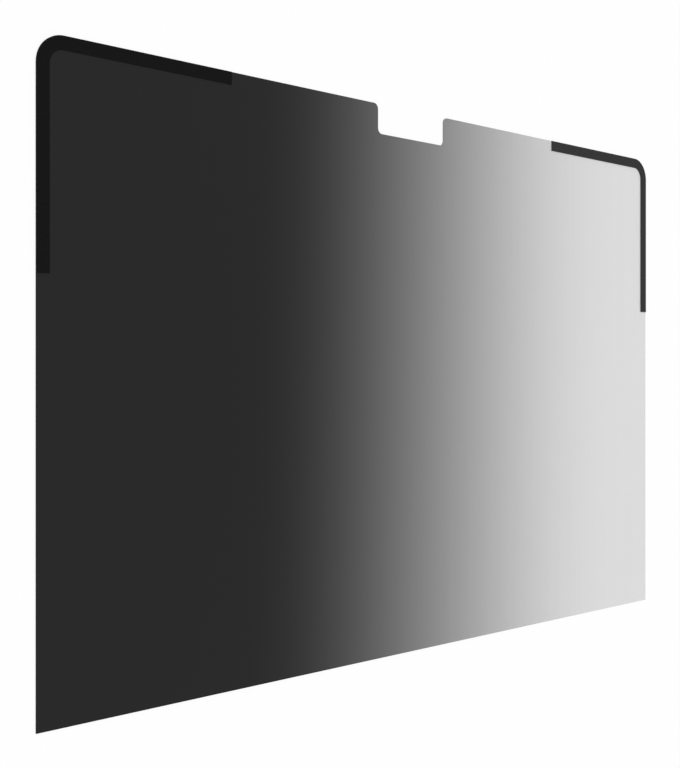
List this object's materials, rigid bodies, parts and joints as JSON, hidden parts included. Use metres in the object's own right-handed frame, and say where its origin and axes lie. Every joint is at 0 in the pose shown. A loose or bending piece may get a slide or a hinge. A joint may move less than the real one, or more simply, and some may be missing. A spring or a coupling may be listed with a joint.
{
  "type": "laptop privacy filter",
  "caption": "Thin flat screen film with rounded top corners, a camera notch in its top edge and L-shaped mounting strips on its upper corners; narrows a laptop display's viewing angle.",
  "frame": {"origin": "middle of the sheet's underside, on the surface that it lies on", "axes": "+X across the screen to the right, +Y up the screen towards the camera notch, +Z out of the face that carries the strips"},
  "size_m": [0.35, 0.227, 0.0008],
  "materials": {
    "louvre_film": "satin",
    "mounting_strip": "matte"
  },
  "bodies": {
    "root": {"filter_sheet": "louvre_film", "left_corner_strip": "mounting_strip", "right_corner_strip": "mounting_strip"}
  },
  "joints": []
}
